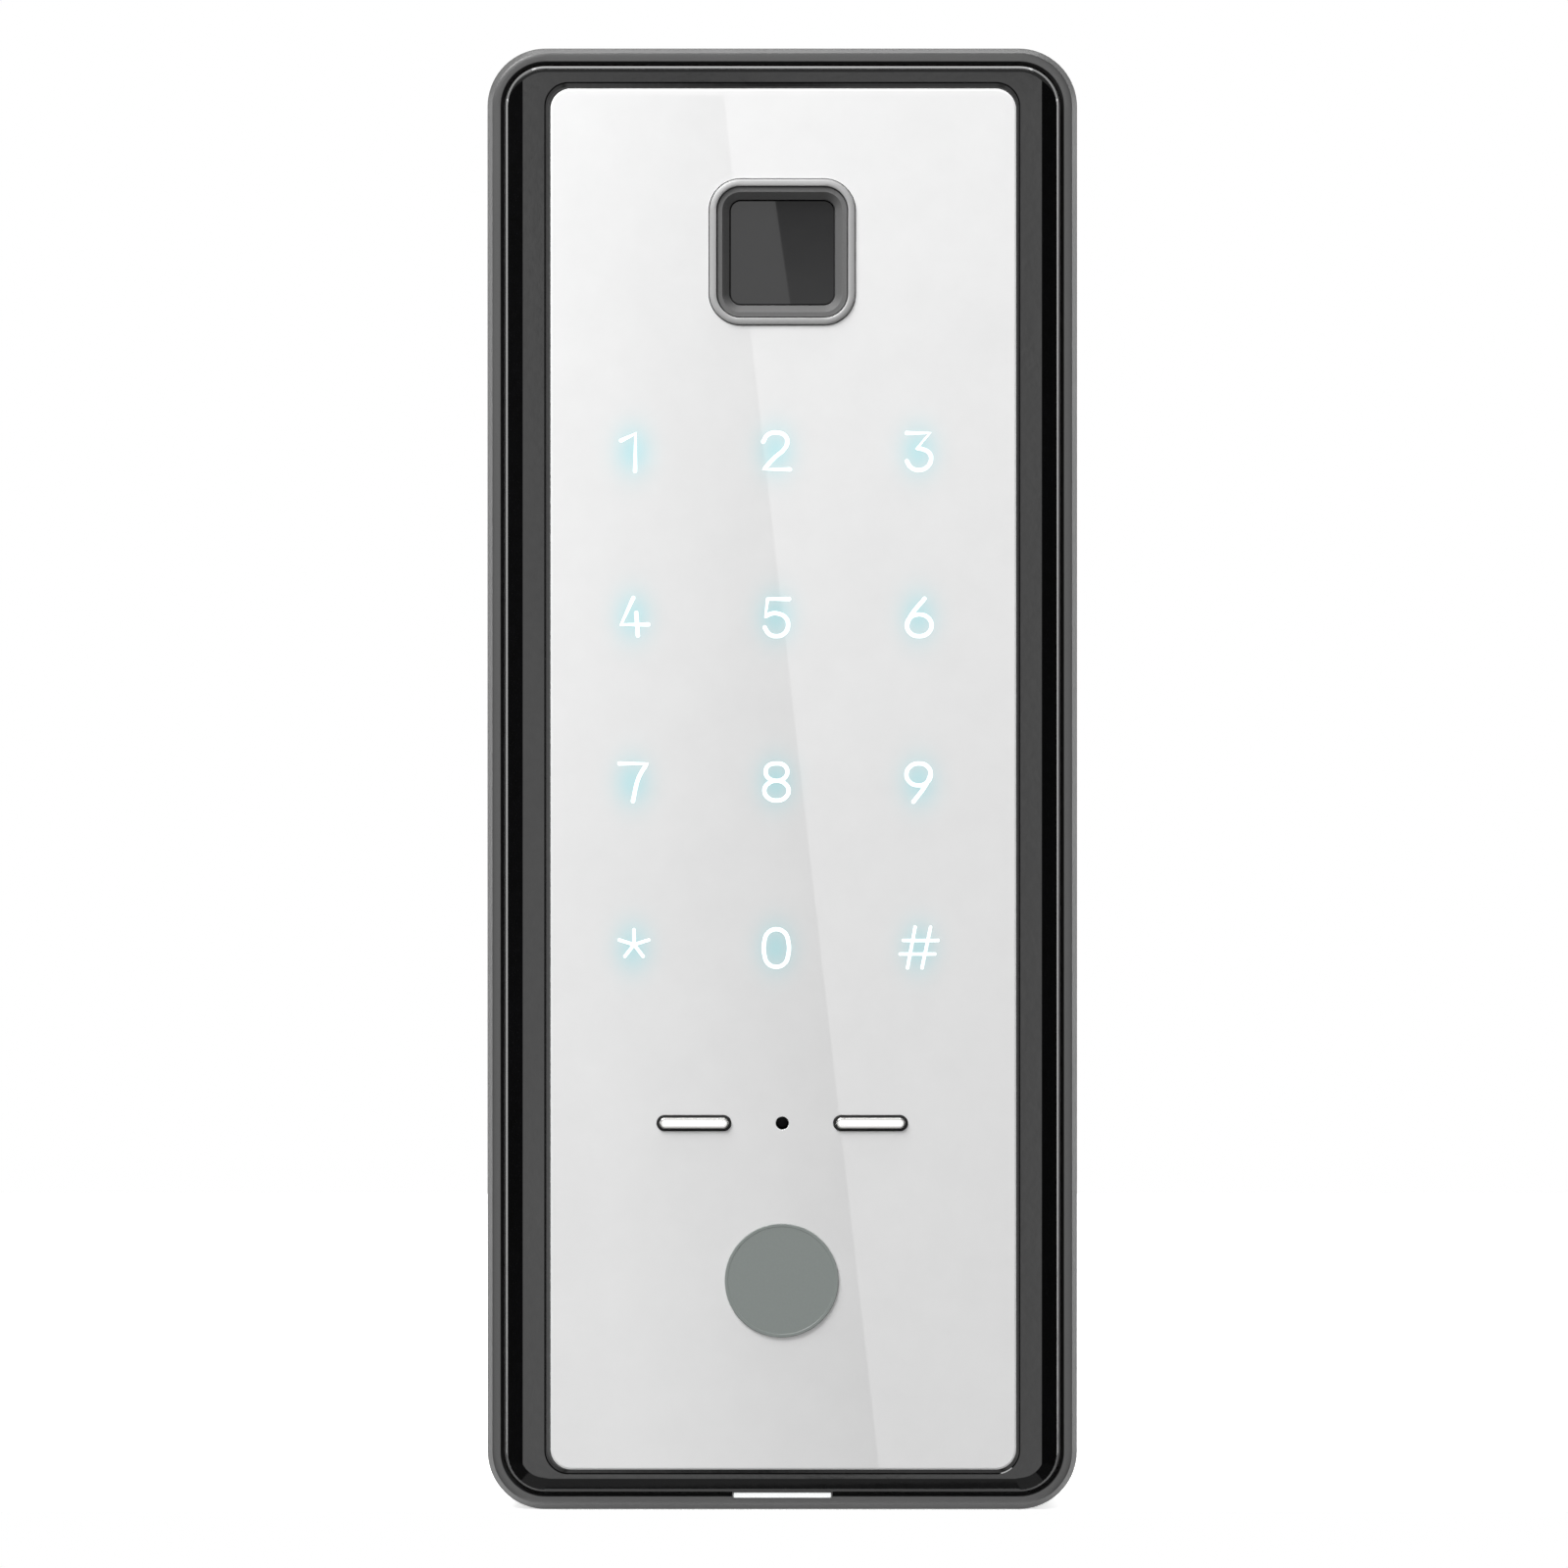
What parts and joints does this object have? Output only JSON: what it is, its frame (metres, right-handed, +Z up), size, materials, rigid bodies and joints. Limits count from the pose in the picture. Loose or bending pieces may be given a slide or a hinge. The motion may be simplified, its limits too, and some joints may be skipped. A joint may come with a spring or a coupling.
{
  "type": "fingerprint scanner terminal",
  "caption": "Upright door-side fingerprint reader and backlit touch keypad unit: glass front in a gloss black case with a grey metal frame, screwed to a door from behind.",
  "frame": {"origin": "middle of the flat back of the rear case, the face that lies on the door", "axes": "+Z up along the tall side, +Y out of the back into the door, -Y out of the glass front, +X to the right as seen from the front"},
  "size_m": [0.072, 0.024, 0.1784],
  "materials": {
    "frame_metal": "satin dark grey paint on die cast zinc",
    "case_black": "piano black moulding",
    "panel_glass": "toughened glass, painted white behind, opaque",
    "rear_plastic": "fine spark textured black",
    "seal_rubber": "closed cell rubber",
    "reader_silver": "satin plated bezel",
    "reader_grey": "satin grey moulding",
    "reader_window": "hard coated dark optical window",
    "contact_plated": "polished nickel plate",
    "badge_grey": "satin grey disc",
    "light_guide": "clear acrylic, lit white",
    "opal_sheet": "milky diffusing film",
    "steel": "zinc plated steel",
    "board": "glass fibre board with green solder mask",
    "chip_black": "moulded epoxy",
    "lamp_cream": "cream moulded nylon",
    "flex_amber": "amber polyimide",
    "spring_steel": "drawn wire"
  },
  "bodies": {
    "housing": {"outer_frame": "frame_metal", "front_case": "case_black", "glass_panel": "panel_glass", "touch_sheet": "board", "glass_tape": "rear_plastic", "badge_disc": "badge_grey", "rear_case": "rear_plastic", "rear_gasket": "seal_rubber", "cable_grommet": "seal_rubber", "chassis_plate": "steel", "mounting_post_upper": "steel", "mounting_post_lower": "steel", "fingerprint_ring": "reader_silver", "fingerprint_well": "reader_grey", "sensor_window": "reader_window", "sensor_seal": "seal_rubber", "sensor_board": "board", "sensor_flex": "flex_amber", "flex_connector": "lamp_cream", "power_contact_left": "contact_plated", "power_contact_right": "contact_plated", "contact_seal_left": "seal_rubber", "contact_seal_right": "seal_rubber", "contact_pin_left": "contact_plated", "contact_pin_right": "contact_plated", "reset_switch": "chip_black", "light_bar": "light_guide", "indicator_led": "lamp_cream", "light_diffuser": "opal_sheet", "led_shroud": "rear_plastic", "main_board": "board", "controller_chip": "chip_black", "buzzer": "chip_black", "capacitor": "steel", "cable_socket": "lamp_cream", "tamper_switch": "chip_black", "tamper_spring": "spring_steel", "case_screw_1": "steel", "board_screw_1": "steel", "case_screw_2": "steel", "board_screw_2": "steel", "case_screw_3": "steel", "board_screw_3": "steel", "case_screw_4": "steel", "board_screw_4": "steel", "key_led_1": "lamp_cream", "key_led_2": "lamp_cream", "key_led_3": "lamp_cream", "key_led_4": "lamp_cream", "key_led_5": "lamp_cream", "key_led_6": "lamp_cream", "key_led_7": "lamp_cream", "key_led_8": "lamp_cream", "key_led_9": "lamp_cream", "key_led_10": "lamp_cream", "key_led_11": "lamp_cream", "key_led_12": "lamp_cream"},
    "tamper": {"tamper_plunger": "lamp_cream"},
    "reset": {"reset_button": "lamp_cream"}
  },
  "joints": [
    {"name": "tamper_press", "type": "slide", "parent": "housing", "child": "tamper", "axis": [0, -1, 0], "range_m": [0, 0.0015], "stiffness_N_per_m": 300, "springref_m": -0.001, "deforming": ["tamper_spring"]},
    {"name": "reset_press", "type": "slide", "parent": "housing", "child": "reset", "axis": [0, 1, 0], "range_m": [0, 0.0003], "stiffness_N_per_m": 4000, "springref_m": -0.0001}
  ]
}
